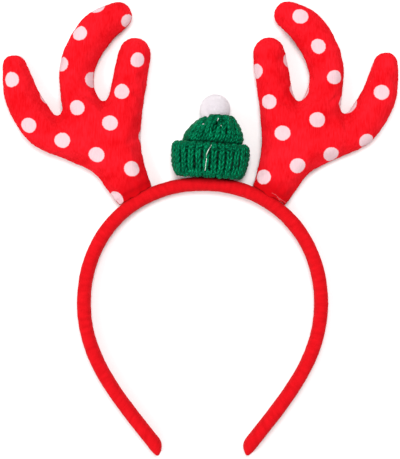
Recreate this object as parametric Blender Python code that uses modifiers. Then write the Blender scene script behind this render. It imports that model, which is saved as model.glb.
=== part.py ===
"""Reindeer antler headband with a small knitted beanie, lying on its back.

Metres, +Z up. +X runs along the width, +Y from the tips of the band to the antlers.
The front of the headband faces up, and its back rests on z = 0.
The origin is the middle of the whole footprint.
"""
import math

import bmesh
import bpy
import numpy as np
from mathutils import Vector

MM = 0.001

# Headband: a padded horseshoe with a rounded section
BAND_INSIDE_WIDTH = 125 * MM
BAND_THICKNESS = 7.9 * MM
BAND_DEPTH = 12 * MM
BAND_SHOULDER = 66.6 * MM
BAND_LEG = 84 * MM
BAND_TIP_OFFSET = 22.9 * MM
BAND_TIP_ANGLE = math.radians(37.5)
BAND_TIP_LENGTH = 7.3 * MM

# Antlers: stuffed plush, sewn from a front and a back at mid depth of the band
ANTLER_HEIGHT = 109 * MM
ANTLER_SPREAD = 75 * MM
TINE_WIDTH = 20.2 * MM
ANTLER_FRONT = 9.6 * MM
ANTLER_BACK = 7.6 * MM
ANTLER_LEAN = math.radians(30.9)

# Beanie: a knitted cup, its turned-up cuff and its pompom
BEANIE_LEAN = math.radians(3.6)
BEANIE_MIDDLE = 8 * MM
CROWN_WIDTH = 34.2 * MM
CROWN_HEIGHT = 34.9 * MM
CROWN_FRONT = 10.5 * MM
CROWN_BACK = 4.6 * MM
KNIT_WALL = 3 * MM
CUFF_WIDTH = 44.7 * MM
CUFF_HEIGHT = 18.8 * MM
CUFF_FRONT = 14 * MM
CUFF_BACK = 8 * MM
RIB_COUNT = 46
RIB_DEPTH = 0.6 * MM
GATHER_COUNT = 11
GATHER_DEPTH = 1.3 * MM
POMPOM_RADIUS = 8.7 * MM
POMPOM_RISE = 37.5 * MM
POMPOM_SIDESTEP = -0.5 * MM

# What keeps two pieces apart where they touch
SEAT_GAP = 0.3 * MM
CUFF_GAP = 0.4 * MM

# How finely the faceted solids follow the curves
BAND_STATIONS = 28
BAND_SIDES = 16
LIMB_SIDES = 20
FELT_CELL = 1.8 * MM
ANTLER_FACES = 1750
CUT_WELD = 0.03 * MM

# Shares of the handle lengths that bend the band's two curves
CROWN_CURVE_HANDLES = (0.59, 0.575)
LEG_CURVE_HANDLES = (0.40, 0.425)

# Tip of the band, columns: distance from the end / tip length, thickness / band thickness,
# outward shift / half thickness, depth / band depth
BAND_TIP_ROWS = (
    (1.00, 1.00, 0.00, 1.00),
    (0.69, 0.96, 0.03, 0.98),
    (0.37, 0.77, 0.16, 0.90),
    (0.09, 0.37, 0.42, 0.72),
    (0.00, 0.18, 0.60, 0.50),
)

# Antler limbs from root to tip, columns: outward / spread, up / height, width / tine width,
# front / antler front, back / antler back
ANTLER_LIMBS = {
    "outer": (
        (-0.034, -0.040, 1.08, 0.58, 0.72),
        (0.056, 0.046, 1.14, 0.74, 0.86),
        (0.212, 0.188, 1.16, 0.98, 1.00),
        (0.455, 0.270, 1.14, 0.96, 0.97),
        (0.682, 0.338, 1.11, 0.93, 0.95),
        (0.826, 0.474, 1.05, 0.90, 0.92),
        (0.875, 0.576, 0.93, 0.84, 0.89),
        (0.902, 0.658, 0.76, 0.72, 0.84),
    ),
    "beam": (
        (-0.034, -0.040, 1.08, 0.58, 0.72),
        (0.052, 0.072, 1.20, 0.80, 0.88),
        (0.157, 0.196, 1.36, 1.00, 1.00),
        (0.284, 0.338, 1.34, 1.02, 1.00),
        (0.400, 0.460, 1.10, 0.97, 0.98),
        (0.437, 0.567, 1.00, 0.92, 0.95),
        (0.431, 0.660, 1.04, 0.92, 0.94),
        (0.372, 0.760, 1.07, 0.91, 0.93),
        (0.264, 0.861, 1.05, 0.87, 0.90),
        (0.128, 0.922, 0.86, 0.74, 0.84),
    ),
    "inner": (
        (-0.034, -0.040, 1.08, 0.58, 0.72),
        (0.036, 0.062, 1.13, 0.78, 0.87),
        (0.092, 0.196, 1.15, 0.96, 0.98),
        (0.104, 0.309, 1.14, 0.98, 0.99),
        (0.083, 0.433, 1.08, 0.95, 0.97),
        (0.055, 0.536, 1.03, 0.92, 0.94),
        (0.030, 0.629, 1.02, 0.90, 0.92),
        (0.003, 0.729, 0.97, 0.86, 0.88),
    ),
}

# How each antler's stuffing sets its limbs, columns: belly outward / tine width,
# tip outward / tine width, tip upward / tine width
ANTLER_SETS = {
    "antler_left": {
        "outer": (0.000, 0.000, 0.000),
        "beam": (0.010, -0.010, -0.020),
        "inner": (0.000, 0.000, -0.030),
    },
    "antler_right": {
        "outer": (0.000, -0.140, 0.065),
        "beam": (-0.080, 0.025, 0.005),
        "inner": (-0.060, -0.035, -0.020),
    },
}

# Beanie crown from its mouth to its gathered top, columns: height / crown height,
# width / crown width, sideways / half crown width, front / crown front, back / crown back,
# rib depth / rib depth, gather depth / gather depth
CROWN_ROWS = (
    (0.000, 0.960, -0.085, 0.90, 1.00, 0.0, 0.0),
    (0.545, 0.960, -0.085, 0.90, 1.00, 0.0, 0.0),
    (0.590, 1.000, -0.020, 1.00, 1.00, 0.8, 0.0),
    (0.650, 0.976, 0.000, 1.00, 1.05, 1.0, 0.0),
    (0.736, 0.892, 0.030, 1.01, 1.15, 1.0, 0.1),
    (0.814, 0.796, 0.054, 1.02, 1.30, 0.9, 0.3),
    (0.880, 0.689, 0.084, 1.03, 1.50, 0.8, 0.6),
    (0.928, 0.575, 0.126, 1.03, 1.65, 0.6, 0.9),
    (0.974, 0.443, 0.168, 0.99, 1.72, 0.4, 1.0),
    (1.000, 0.300, 0.200, 0.84, 1.40, 0.2, 1.0),
)

# Hollow of the crown, columns: height / crown height, width / hollow width at the mouth
CROWN_HOLLOW_ROWS = (
    (0.740, 0.62),
    (0.700, 0.82),
    (0.600, 0.96),
    (0.000, 1.00),
)

# Cuff from its lower edge over its roll, columns: height / cuff height, width / cuff width,
# rib depth / rib depth
CUFF_ROWS = (
    (0.000, 0.840, 0.5),
    (0.130, 0.925, 1.0),
    (0.320, 0.980, 1.0),
    (0.590, 1.000, 1.0),
    (0.810, 0.973, 1.0),
    (0.945, 0.910, 0.9),
    (1.000, 0.850, 0.5),
)


# Helpers shared by all pieces

def clear_scene():
    for obj in list(bpy.data.objects):
        bpy.data.objects.remove(obj, do_unlink=True)


def new_collection(name):
    collection = bpy.data.collections.new(name)
    bpy.context.scene.collection.children.link(collection)
    return collection


def new_material(name, color, roughness):
    material = bpy.data.materials.new(name)
    material.use_nodes = True
    shader = material.node_tree.nodes["Principled BSDF"]
    shader.inputs["Base Color"].default_value = (*color, 1.0)
    shader.inputs["Roughness"].default_value = roughness
    shader.inputs["Metallic"].default_value = 0.0
    return material


def new_empty(name, location, parent=None, turn=0.0):
    empty = bpy.data.objects.new(name, None)
    empty.location = location
    empty.rotation_euler = (0.0, 0.0, turn)
    empty.parent = parent
    bpy.context.scene.collection.objects.link(empty)
    return empty


def loft(name, rings, looped=False):
    """Object skinned over rings of equally many points; open ends get a flat cap."""
    bm = bmesh.new()
    rows = [[bm.verts.new(point) for point in ring] for ring in rings]
    pairs = list(zip(rows, rows[1:]))
    if looped:
        pairs.append((rows[-1], rows[0]))
    else:
        bm.faces.new(rows[0])
        bm.faces.new(rows[-1])
    for low, high in pairs:
        for i in range(len(low)):
            j = (i + 1) % len(low)
            bm.faces.new((low[i], low[j], high[j], high[i]))
    bmesh.ops.recalc_face_normals(bm, faces=bm.faces)
    mesh = bpy.data.meshes.new(name)
    bm.to_mesh(mesh)
    bm.free()
    obj = bpy.data.objects.new(name, mesh)
    bpy.context.scene.collection.objects.link(obj)
    return obj


def boolean(obj, tool, operation):
    modifier = obj.modifiers.new(operation.title(), "BOOLEAN")
    modifier.operation = operation
    modifier.solver = "EXACT"
    modifier.object = tool


def bake_modifiers(obj):
    """Turn the modified shape into the object's own mesh."""
    graph = bpy.context.evaluated_depsgraph_get()
    mesh = bpy.data.meshes.new_from_object(obj.evaluated_get(graph))
    mesh.name = obj.name
    obj.modifiers.clear()
    obj.data = mesh


def weld_cut(obj):
    """Join the near-coincident points that a cut leaves, so that no sliver faces remain."""
    bm = bmesh.new()
    bm.from_mesh(obj.data)
    bmesh.ops.remove_doubles(bm, verts=bm.verts, dist=CUT_WELD)
    bmesh.ops.dissolve_degenerate(bm, edges=bm.edges, dist=CUT_WELD)
    bm.to_mesh(obj.data)
    bm.free()


def dress(obj, material, parent, collection):
    obj.data.materials.clear()
    obj.data.materials.append(material)
    obj.parent = parent
    obj.data.shade_smooth()
    obj.data.set_sharp_from_angle(angle=math.radians(40))
    for other in list(obj.users_collection):
        other.objects.unlink(obj)
    collection.objects.link(obj)


def superellipse(sides, power, phase):
    """Unit closed curve between an ellipse (power 2) and a rectangle."""
    points = []
    for i in range(sides):
        angle = 2 * math.pi * (i + phase) / sides
        c, s = math.cos(angle), math.sin(angle)
        points.append((math.copysign(abs(c) ** (2 / power), c), math.copysign(abs(s) ** (2 / power), s)))
    return points


def smooth_rows(rows, steps):
    """Rows of a table with Catmull-Rom rows added between them."""
    table = [np.array(row) for row in rows]
    table = [2 * table[0] - table[1]] + table + [2 * table[-1] - table[-2]]
    dense = []
    for p0, p1, p2, p3 in zip(table, table[1:], table[2:], table[3:]):
        for step in range(steps):
            t = step / steps
            dense.append(0.5 * (2 * p1 + (p2 - p0) * t + (2 * p0 - 5 * p1 + 4 * p2 - p3) * t ** 2
                                + (3 * p1 - p0 - 3 * p2 + p3) * t ** 3))
    dense.append(table[-2])
    return [row.tolist() for row in dense]


# Headband

def bezier(p0, p1, p2, p3, t):
    return (1 - t) ** 3 * p0 + 3 * (1 - t) ** 2 * t * p1 + 3 * (1 - t) * t ** 2 * p2 + t ** 3 * p3


def band_centreline(samples=200):
    """Points of the right half of the band's centreline, from the top to the tip."""
    half_width = (BAND_INSIDE_WIDTH + BAND_THICKNESS) / 2
    top = Vector((0, 0))
    side = Vector((half_width, -BAND_SHOULDER))
    tip = Vector((BAND_TIP_OFFSET, -BAND_SHOULDER - BAND_LEG))
    along_tip = Vector((-math.sin(BAND_TIP_ANGLE), -math.cos(BAND_TIP_ANGLE)))
    out_share, up_share = CROWN_CURVE_HANDLES
    down_share, end_share = LEG_CURVE_HANDLES
    arch = (top, top + Vector((out_share * half_width, 0)), side + Vector((0, up_share * BAND_SHOULDER)), side)
    leg = (side, side - Vector((0, down_share * BAND_LEG)), tip - end_share * BAND_LEG * along_tip, tip)
    points = [bezier(*arch, i / samples) for i in range(samples)]
    points += [bezier(*leg, i / samples) for i in range(samples + 1)]
    return points


def band_lengths(points):
    lengths = [0.0]
    for a, b in zip(points, points[1:]):
        lengths.append(lengths[-1] + (b - a).length)
    return lengths


def band_frame(points, lengths, distance):
    """Point on the centreline at a distance from the top, and the outward direction there."""
    i = min(int(np.searchsorted(lengths, distance, side="right")), len(points) - 1)
    start, end = points[i - 1], points[i]
    t = (distance - lengths[i - 1]) / (lengths[i] - lengths[i - 1])
    along = (end - start).normalized()
    return start.lerp(end, t), Vector((-along.y, along.x))


def seat_on_band(lean):
    """Point on the band's outer surface where it faces away from +Y by the lean, in the front plane."""
    points = band_centreline()
    lengths = band_lengths(points)
    half = BAND_THICKNESS / 2
    for distance in lengths[1:]:
        point, outward = band_frame(points, lengths, distance)
        if outward.angle(Vector((0, 1))) >= abs(lean):
            break
    seat = point + half * outward
    return Vector((math.copysign(seat.x, lean), seat.y, BAND_DEPTH / 2))


def band_rings(gap=0.0):
    """Sections of the band from its left tip to its right tip, grown by a gap."""
    points = band_centreline()
    lengths = band_lengths(points)
    total = lengths[-1]
    step = (total - BAND_TIP_LENGTH) / (BAND_STATIONS + 0.5)
    rows = [((i + 0.5) * step, 1.0, 0.0, 1.0) for i in range(BAND_STATIONS)]
    rows += [(total - share * BAND_TIP_LENGTH, *rest) for share, *rest in BAND_TIP_ROWS]
    section = superellipse(BAND_SIDES, 2.5, 0.5)
    half_rings = []
    for distance, thickness, shift, depth in rows:
        point, outward = band_frame(points, lengths, distance)
        centre = point + shift * BAND_THICKNESS / 2 * outward
        radial = thickness * BAND_THICKNESS / 2 + gap
        height = depth * BAND_DEPTH / 2 + gap
        ring = [(*(centre + u * radial * outward), BAND_DEPTH / 2 + v * height) for u, v in section]
        half_rings.append(ring)
    mirrored = [[(-x, y, z) for x, y, z in ring] for ring in reversed(half_rings)]
    return mirrored + half_rings


def build_headband(root, material, collection):
    band = loft("headband", band_rings())
    dress(band, material, root, collection)


# Antlers

def limb_rings(rows, side, limb_set):
    """Sections of one limb from its root to its rounded tip, in the antler's own frame."""
    dense = smooth_rows(rows, 3)
    count = len(dense) - 1
    belly, tip_out, tip_up = limb_set
    sections = []
    for i, (out, up, width, front, back) in enumerate(dense):
        share = i / count
        bend = Vector((belly * math.sin(math.pi * share) + tip_out * share, tip_up * share))
        centre = Vector((out * ANTLER_SPREAD, up * ANTLER_HEIGHT)) + TINE_WIDTH * bend
        sections.append((centre, width * TINE_WIDTH / 2, front * ANTLER_FRONT, back * ANTLER_BACK))
    axes = [sections[min(i + 1, count)][0] - sections[max(i - 1, 0)][0] for i in range(count + 1)]
    tip, reach, front, back = sections[-1]
    forward = axes[-1].normalized()
    for angle in (20, 40, 60, 75):
        c, s = math.cos(math.radians(angle)), math.sin(math.radians(angle))
        sections.append((tip + s * reach * forward, c * reach, c * front, c * back))
        axes.append(forward)
    outline = superellipse(LIMB_SIDES, 2.15, 0.5)
    rings = []
    for (centre, half, front, back), axis in zip(sections, axes):
        across = Vector((-axis.y, axis.x)).normalized()
        ring = []
        for u, v in outline:
            spot = centre + u * half * across
            ring.append((side * spot.x, spot.y, v * (front if v > 0 else back)))
        rings.append(ring)
    return rings


def build_antler(name, side, root, material, collection):
    """Three limbs merged into one stuffed form, cut to sit on the band and on the floor."""
    seat = seat_on_band(side * ANTLER_LEAN)
    limbs = []
    for limb, rows in ANTLER_LIMBS.items():
        limbs.append(loft(name + "_" + limb, limb_rings(rows, side, ANTLER_SETS[name][limb])))
    antler = limbs[0]
    for limb in limbs[1:]:
        boolean(antler, limb, "UNION")
    bake_modifiers(antler)
    for limb in limbs[1:]:
        bpy.data.objects.remove(limb, do_unlink=True)
    antler.name = name

    remesh = antler.modifiers.new("Merge", "REMESH")
    remesh.mode = "VOXEL"
    remesh.voxel_size = FELT_CELL
    soften = antler.modifiers.new("Soften", "SMOOTH")
    soften.factor = 0.5
    soften.iterations = 7
    bake_modifiers(antler)
    thin = antler.modifiers.new("Thin", "DECIMATE")
    thin.ratio = ANTLER_FACES / (2 * len(antler.data.polygons))

    band_room = loft("band_room", [[Vector(p) - seat for p in ring] for ring in band_rings(SEAT_GAP)])
    bpy.ops.mesh.primitive_cube_add(size=4 * ANTLER_HEIGHT, location=(0, 0, -2 * ANTLER_HEIGHT - seat.z))
    floor_room = bpy.context.object
    boolean(antler, band_room, "DIFFERENCE")
    boolean(antler, floor_room, "DIFFERENCE")
    bake_modifiers(antler)
    weld_cut(antler)
    bpy.data.objects.remove(band_room, do_unlink=True)
    bpy.data.objects.remove(floor_room, do_unlink=True)

    mount = new_empty(name + "_seat", seat, root)
    dress(antler, material, mount, collection)


# Beanie

def knit_outline(half_width, front, back, columns):
    """Equally spaced points round a flattened tube, with their outward directions, in x and z."""
    fine = superellipse(12 * columns, 2.3, 0.0)
    curve = np.array([(u * half_width, v * (front if v > 0 else back)) for u, v in fine])
    curve = np.vstack([curve, curve[:1]])
    steps = np.linalg.norm(np.diff(curve, axis=0), axis=1)
    travelled = np.concatenate([[0.0], np.cumsum(steps)])
    stops = np.arange(columns) * travelled[-1] / columns
    points = np.stack([np.interp(stops, travelled, curve[:, k]) for k in (0, 1)], axis=1)
    along = np.roll(points, -1, axis=0) - np.roll(points, 1, axis=0)
    along /= np.linalg.norm(along, axis=1)[:, None]
    outward = np.stack([along[:, 1], -along[:, 0]], axis=1)
    return points, outward


def band_top_under(seat, lean):
    """Function giving the band's outer surface under the beanie, in the beanie's own frame."""
    points = band_centreline()
    lengths = band_lengths(points)
    surface = []
    for distance in lengths[1:len(lengths) // 2]:
        point, outward = band_frame(points, lengths, distance)
        edge = point + BAND_THICKNESS / 2 * outward
        surface += [Vector((edge.x, edge.y)), Vector((-edge.x, edge.y))]
    turned = []
    for edge in surface:
        offset = edge - Vector((seat.x, seat.y))
        turned.append((offset.x * math.cos(lean) - offset.y * math.sin(lean),
                       offset.x * math.sin(lean) + offset.y * math.cos(lean)))
    turned.sort()
    xs, ys = np.array(turned).T
    return lambda x: float(np.interp(x, xs, ys))


def knit_ring(row, surface, columns=2 * RIB_COUNT):
    """One ring of knitting; the lowest part follows the band, and the back lies on the floor."""
    height, half_width, sideways, front, back, rib, gather = row
    points, outward = knit_outline(half_width, front, back, columns)
    ring = []
    for k in range(columns):
        rib_wave = 0.5 - 0.5 * math.cos(2 * math.pi * RIB_COUNT * k / columns)
        gather_wave = 0.5 - 0.5 * math.cos(2 * math.pi * GATHER_COUNT * k / columns)
        x, z = points[k] - (rib * rib_wave + gather * gather_wave) * outward[k]
        x += sideways
        follow = max(0.0, 1 - height / (0.6 * CUFF_HEIGHT))
        y = height + follow * (surface(x) + SEAT_GAP)
        ring.append((x, y, max(z, -BEANIE_MIDDLE)))
    return ring


def crown_mouth():
    """Half width, sideways shift, front and back of the crown where the cuff goes round it."""
    _, width, sideways, front, back, _, _ = CROWN_ROWS[0]
    return width * CROWN_WIDTH / 2, sideways * CROWN_WIDTH / 2, front * CROWN_FRONT, back * CROWN_BACK


def build_crown(seat_empty, surface, material, collection):
    rings = []
    half, sideways, front, back = crown_mouth()
    for height, share in CROWN_HOLLOW_ROWS:
        rings.append(knit_ring((height * CROWN_HEIGHT, share * (half - KNIT_WALL), sideways,
                                share * (front - KNIT_WALL), share * (back - KNIT_WALL), 0, 0), surface))
    for height, width, sideways, front, back, rib, gather in CROWN_ROWS:
        rings.append(knit_ring((height * CROWN_HEIGHT, width * CROWN_WIDTH / 2, sideways * CROWN_WIDTH / 2,
                                front * CROWN_FRONT, back * CROWN_BACK,
                                rib * RIB_DEPTH, gather * GATHER_DEPTH), surface))
    crown = loft("beanie_crown", rings)
    bpy.ops.mesh.primitive_ico_sphere_add(subdivisions=4, radius=POMPOM_RADIUS + SEAT_GAP,
                                          location=pompom_place())
    dish = bpy.context.object
    boolean(crown, dish, "DIFFERENCE")
    bake_modifiers(crown)
    weld_cut(crown)
    bpy.data.objects.remove(dish, do_unlink=True)
    dress(crown, material, seat_empty, collection)


def build_cuff(seat_empty, surface, material, collection):
    half, sideways, front, back = crown_mouth()
    inside = (half + CUFF_GAP, sideways, front + CUFF_GAP, back + CUFF_GAP, 0, 0)
    rings = []
    for height, width, rib in CUFF_ROWS:
        rings.append(knit_ring((height * CUFF_HEIGHT, width * CUFF_WIDTH / 2, sideways, width * CUFF_FRONT,
                                width * CUFF_BACK, rib * RIB_DEPTH, 0), surface))
    top_share = CUFF_ROWS[-2][0]
    rings.append(knit_ring((top_share * CUFF_HEIGHT, *inside), surface))
    rings.append(knit_ring((0.0, *inside), surface))
    cuff = loft("beanie_cuff", rings, looped=True)
    dress(cuff, material, seat_empty, collection)


def pompom_place():
    """Centre of the pompom in the beanie's own frame; it rests on the floor."""
    return Vector((POMPOM_SIDESTEP, POMPOM_RISE, POMPOM_RADIUS - BEANIE_MIDDLE))


def build_pompom(seat_empty, material, collection):
    """A ball of short locks: each face of a round cage is drawn up to a point."""
    bpy.ops.mesh.primitive_ico_sphere_add(subdivisions=3, radius=POMPOM_RADIUS)
    pompom = bpy.context.object
    pompom.name = pompom.data.name = "pompom"
    bm = bmesh.new()
    bm.from_mesh(pompom.data)
    for vert in bm.verts:
        vert.co *= 0.88
    poked = bmesh.ops.poke(bm, faces=bm.faces)
    for i, vert in enumerate(poked["verts"]):
        share = 0.96 + 0.04 * math.cos(2.4 * i)
        vert.co = vert.co.normalized() * POMPOM_RADIUS * share
    bm.to_mesh(pompom.data)
    bm.free()
    pompom.location = pompom_place()
    dress(pompom, material, seat_empty, collection)


# The whole headband

def centre_footprint(root, collection):
    """Move the root so that the origin is the middle of the footprint, on the floor."""
    bpy.context.view_layer.update()
    corners = [obj.matrix_world @ Vector(corner) for obj in collection.objects for corner in obj.bound_box]
    low = Vector([min(corner[k] for corner in corners) for k in range(3)])
    high = Vector([max(corner[k] for corner in corners) for k in range(3)])
    root.location = (-(low.x + high.x) / 2, -(low.y + high.y) / 2, -low.z)


def main():
    clear_scene()
    collection = new_collection("antler_headband")
    plush = new_material("red_plush", (0.84, 0.01, 0.02), 0.9)
    velour = new_material("red_velour", (0.72, 0.01, 0.02), 0.85)
    yarn = new_material("green_yarn", (0.005, 0.13, 0.05), 0.6)
    tuft = new_material("white_tuft", (0.9, 0.86, 0.88), 0.95)

    root = new_empty("headband_root", (0, 0, 0))
    build_headband(root, velour, collection)

    build_antler("antler_left", -1, root, plush, collection)
    build_antler("antler_right", 1, root, plush, collection)

    seat = seat_on_band(BEANIE_LEAN)
    seat_empty = new_empty("beanie_seat", (seat.x, seat.y, BEANIE_MIDDLE), root, turn=-BEANIE_LEAN)
    surface = band_top_under(seat, BEANIE_LEAN)
    build_crown(seat_empty, surface, yarn, collection)
    build_cuff(seat_empty, surface, yarn, collection)
    build_pompom(seat_empty, tuft, collection)

    centre_footprint(root, collection)


main()
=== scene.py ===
"""Looks of the plush antler headband with a small knitted beanie, lying on a pale floor."""
import math

import bmesh
import bpy
import numpy as np
from mathutils import Matrix, Vector, noise
from mathutils.bvhtree import BVHTree
from mathutils.kdtree import KDTree


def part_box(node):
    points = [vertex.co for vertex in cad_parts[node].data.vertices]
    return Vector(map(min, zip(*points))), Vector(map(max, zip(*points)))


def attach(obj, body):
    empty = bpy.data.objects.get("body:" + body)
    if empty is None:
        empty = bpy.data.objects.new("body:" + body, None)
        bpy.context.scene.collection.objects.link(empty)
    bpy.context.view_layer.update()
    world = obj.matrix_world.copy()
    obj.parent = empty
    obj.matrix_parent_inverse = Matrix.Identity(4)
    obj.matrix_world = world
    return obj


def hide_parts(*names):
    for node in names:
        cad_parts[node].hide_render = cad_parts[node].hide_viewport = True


MM = 0.001

# Reference picture: size in pixels, and the real size of one pixel in the plane of the seams
PICTURE = (400, 459)
PIXEL = 0.56 * MM
BAND_AXIS_PX = 202.5
BAND_TOP_PX = 177.15
SEAM_HEIGHT = 6 * MM
CAMERA_RISE = 0.95

# Lowest point of loose fibres and yarn above the floor
LEAST_HEIGHT = 0.03 * MM

# Antlers
PLUSH_CELL = 2.0 * MM
STUFFING_TRAVEL = 0.9 * MM
CLOTH_SCALE = 15
DOT_PITCH = 20.4 * MM
DOT_DIAMETER = 8.55 * MM
WEB_DEPTH = 1.3 * MM
GLUE_REACH = 3.2 * MM
GLUE_GAP = 0.03 * MM
SHADE_NEAR_BAND_REACH = 9 * MM
DOT_BLUR = 0.014
BACK_FACING = -0.05
BACK_PANEL_SHIFT = (0.37, 0.21)

# Headband
BAND_CELL = 1.1 * MM

# Knitting: one wale is a column of V stitches, one course a row of them
BEANIE_LEAN = math.radians(3.6)
WALES = 24
COURSE = 2.95 * MM
YARN = 1.62 * MM
CUFF_SPLAY = 0.185
CROWN_SPLAY = 0.24
WALE_GAP = 0.07
STITCH_SAMPLES = 26
YARN_SIDES = 10
CUFF_DRAPE = 0.6 * MM
CROWN_TOP = 17 * MM
CROWN_WIDTH = 34.2 * MM
CROWN_HEIGHT = 34.9 * MM
CUFF_WIDTH = 44.7 * MM
CUFF_HEIGHT = 18.8 * MM
CUFF_SIDEWAYS = -1.1 * MM
WALL_CELL = 0.8 * MM
FLOOR_PRESS = 0.6 * MM

# Pompom
POMPOM_STRANDS = 15000
STRAND_WIDTH = 0.16 * MM


# Small tools

def linear(hex_colour):
    """sRGB hex colour as linear values, with alpha."""
    values = []
    for i in (1, 3, 5):
        c = int(hex_colour[i:i + 2], 16) / 255
        values.append(c / 12.92 if c <= 0.04045 else ((c + 0.055) / 1.055) ** 2.4)
    return (*values, 1.0)


def add_object(name, mesh):
    obj = bpy.data.objects.new(name, mesh)
    bpy.context.scene.collection.objects.link(obj)
    return obj


def mesh_from(name, points, faces):
    mesh = bpy.data.meshes.new(name)
    mesh.from_pydata([tuple(p) for p in points], [], [tuple(f) for f in faces])
    mesh.validate()
    mesh.shade_smooth()
    return mesh


def evaluated(obj):
    """A copy of the object's mesh with its modifiers applied, which takes the old mesh's place."""
    graph = bpy.context.evaluated_depsgraph_get()
    mesh = bpy.data.meshes.new_from_object(obj.evaluated_get(graph))
    obj.modifiers.clear()
    obj.data = mesh
    return obj


def read_points(mesh):
    flat = np.empty(len(mesh.vertices) * 3, np.float32)
    mesh.vertices.foreach_get("co", flat)
    return flat.reshape(-1, 3).astype(float)


def read_normals(mesh):
    flat = np.empty(len(mesh.vertices) * 3, np.float32)
    mesh.vertex_normals.foreach_get("vector", flat)
    return flat.reshape(-1, 3).astype(float)


def write_points(mesh, points):
    mesh.vertices.foreach_set("co", points.astype(np.float32).ravel())
    mesh.update()


def store(mesh, name, values):
    """Keep one number a point, for a material to read."""
    layer = mesh.attributes.new(name, "FLOAT", "POINT")
    layer.data.foreach_set("value", values.astype(np.float32))


def dress(obj, material):
    obj.data.materials.clear()
    obj.data.materials.append(material)
    obj.data.shade_smooth()


def corners_of(mesh):
    corners = np.empty(len(mesh.loops), np.int32)
    mesh.loops.foreach_get("vertex_index", corners)
    return corners


def face_sizes(mesh):
    sizes = np.empty(len(mesh.polygons), np.int32)
    mesh.polygons.foreach_get("loop_total", sizes)
    return sizes


def set_uv(mesh, name, values):
    """UV map from a pair of values for each face corner."""
    layer = mesh.uv_layers.new(name=name)
    layer.data.foreach_set("uv", values.astype(np.float32).ravel())


def smooth_noise(points, size, seed=0.0):
    """Soft noise between -1 and 1 with lumps of the given size, one value a point."""
    return np.array([noise.noise(Vector(p) / size + Vector((seed, 2 * seed, -seed))) for p in points])


def bell(x, width):
    return np.exp(-(x / width) ** 2)


def voxel_copy(node, name, cell):
    """A new evenly meshed object with the shape of a CAD node."""
    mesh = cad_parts[node].data.copy()
    bm = bmesh.new()
    bm.from_mesh(mesh)
    bmesh.ops.remove_doubles(bm, verts=bm.verts, dist=0.001 * MM)
    bm.to_mesh(mesh)
    bm.free()
    obj = add_object(name, mesh)
    remesh = obj.modifiers.new("Even cells", "REMESH")
    remesh.mode = "VOXEL"
    remesh.voxel_size = cell
    return evaluated(obj)


def subdivide(obj, levels=1):
    finer = obj.modifiers.new("Finer", "SUBSURF")
    finer.levels = levels
    finer.render_levels = levels
    return evaluated(obj)


def soften(obj, factor, rounds):
    smooth = obj.modifiers.new("Soften", "SMOOTH")
    smooth.factor = factor
    smooth.iterations = rounds
    return evaluated(obj)


def relax(obj, rounds):
    """Even out small bumps without shrinking the form: each soft step is undone for broad shapes."""
    for _ in range(rounds):
        soften(obj, 0.5, 1)
        soften(obj, -0.52, 1)
    return obj


def stuff(obj, held):
    """Cloth that its stuffing swells, sewn down at the held points; no point moves further than a cap."""
    before = read_points(obj.data)
    write_points(obj.data, before * CLOTH_SCALE)
    sewn = obj.vertex_groups.new(name="sewn")
    sewn.add([int(i) for i in np.nonzero(held)[0]], 1.0, "REPLACE")
    cloth = obj.modifiers.new("Stuffing", "CLOTH")
    cloth.settings.quality = 5
    cloth.settings.mass = 0.25
    cloth.settings.bending_stiffness = 0.6
    cloth.settings.use_pressure = True
    cloth.settings.uniform_pressure_force = 5.0
    cloth.settings.vertex_group_mass = "sewn"
    cloth.settings.effector_weights.gravity = 0.0
    cloth.settings.shrink_min = -0.035
    cloth.collision_settings.use_collision = False
    cloth.point_cache.frame_start = 1
    cloth.point_cache.frame_end = 20
    for step in range(1, 21):
        bpy.context.scene.frame_set(step)
    evaluated(obj)
    moved = read_points(obj.data) / CLOTH_SCALE - before
    length = np.linalg.norm(moved, axis=1)[:, None]
    moved *= np.minimum(1.0, STUFFING_TRAVEL / np.maximum(length, 1e-9))
    write_points(obj.data, before + moved)
    obj.vertex_groups.clear()


def place(px, py, z=SEAM_HEIGHT):
    """The spot at height z that shows at a pixel of the reference picture: higher spots look further out."""
    low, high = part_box("headband")
    share = 1 - (z - SEAM_HEIGHT) / CAMERA_RISE
    across = PICTURE[0] / 2 + share * (px - PICTURE[0] / 2)
    down = PICTURE[1] / 2 + share * (py - PICTURE[1] / 2)
    x = (low.x + high.x) / 2 + (across - BAND_AXIS_PX) * PIXEL
    y = high.y - (down - BAND_TOP_PX) * PIXEL
    return Vector((x, y, z))


# Materials

def add(tree, kind, inputs=None, **settings):
    """Add a node; inputs are values or sockets, by name or number."""
    node = tree.nodes.new(kind)
    for key, value in settings.items():
        setattr(node, key, value)
    for key, value in (inputs or {}).items():
        socket = node.inputs[key]
        if isinstance(value, bpy.types.NodeSocket):
            tree.links.new(value, socket)
        else:
            socket.default_value = value
    return node


def new_material(name):
    material = bpy.data.materials.new(name)
    material.use_nodes = True
    tree = material.node_tree
    tree.nodes.clear()
    return material, tree


def finish_material(tree, shader):
    add(tree, "ShaderNodeOutputMaterial", {"Surface": shader.outputs[0]})


def soft_noise(tree, vector, scale, detail=1.0, **more):
    return add(tree, "ShaderNodeTexNoise", {"Vector": vector, "Scale": scale, "Detail": detail, **more})


def two_tone(tree, value, dark, light, low=0.0, high=1.0):
    """A value turned to a blend of two colours, which are reached at low and high."""
    ramp = add(tree, "ShaderNodeValToRGB", {"Fac": value})
    ends = ramp.color_ramp.elements
    ends[0].position, ends[1].position = low, high
    ends[0].color, ends[1].color = linear(dark), linear(light)
    return ramp


def relief(tree, value, strength, distance):
    return add(tree, "ShaderNodeBump", {"Height": value, "Strength": strength, "Distance": distance})


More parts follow.
